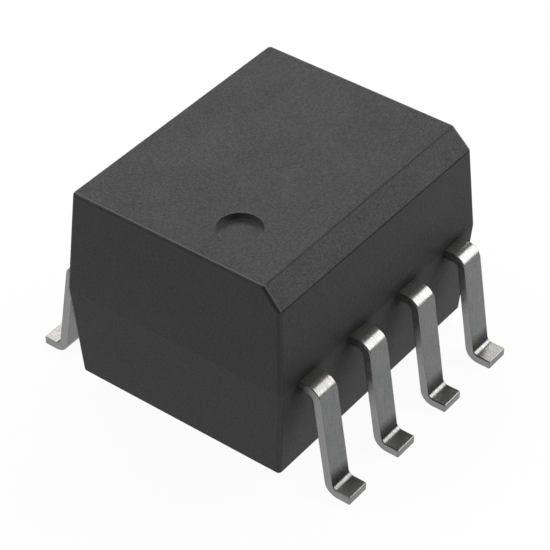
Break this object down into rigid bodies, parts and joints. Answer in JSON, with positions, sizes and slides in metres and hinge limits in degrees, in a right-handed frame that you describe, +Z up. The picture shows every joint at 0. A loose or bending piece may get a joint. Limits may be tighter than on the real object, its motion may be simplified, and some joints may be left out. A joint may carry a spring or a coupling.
{
  "type": "optocoupler",
  "caption": "Surface-mount optocoupler: black moulded block with a chamfered top edge and a round dimple, on tinned gull-wing leads, with an emitter facing a detector inside.",
  "frame": {"origin": "on the board under the middle of the body, level with the soles of the feet", "axes": "+X along the body from lead 1 to lead 4, +Y from leads 1 to 4 across to leads 5 to 8, +Z up"},
  "size_m": [0.005, 0.006, 0.0038],
  "materials": {
    "black_epoxy": "black moulded epoxy with a fine matt grain",
    "tinned_lead": "satin tin plating on copper alloy",
    "clear_silicone": "clear soft silicone",
    "emitter_chip": "sawn compound semiconductor",
    "detector_chip": "polished silicon",
    "die_bond": "silver-filled adhesive",
    "gold_wire": "drawn gold"
  },
  "bodies": {
    "root": {"outer_moulding": "black_epoxy", "lead_1_unconnected": "tinned_lead", "lead_2_anode": "tinned_lead", "lead_3_cathode": "tinned_lead", "lead_4_unconnected": "tinned_lead", "lead_5_ground": "tinned_lead", "lead_6_output": "tinned_lead", "lead_7_enable": "tinned_lead", "lead_8_supply": "tinned_lead", "light_guide": "clear_silicone", "emitter_die": "emitter_chip", "emitter_bond": "die_bond", "emitter_wire": "gold_wire", "detector_die": "detector_chip", "detector_bond": "die_bond", "ground_wire": "gold_wire", "output_wire": "gold_wire", "enable_wire": "gold_wire", "supply_wire": "gold_wire"}
  },
  "joints": []
}
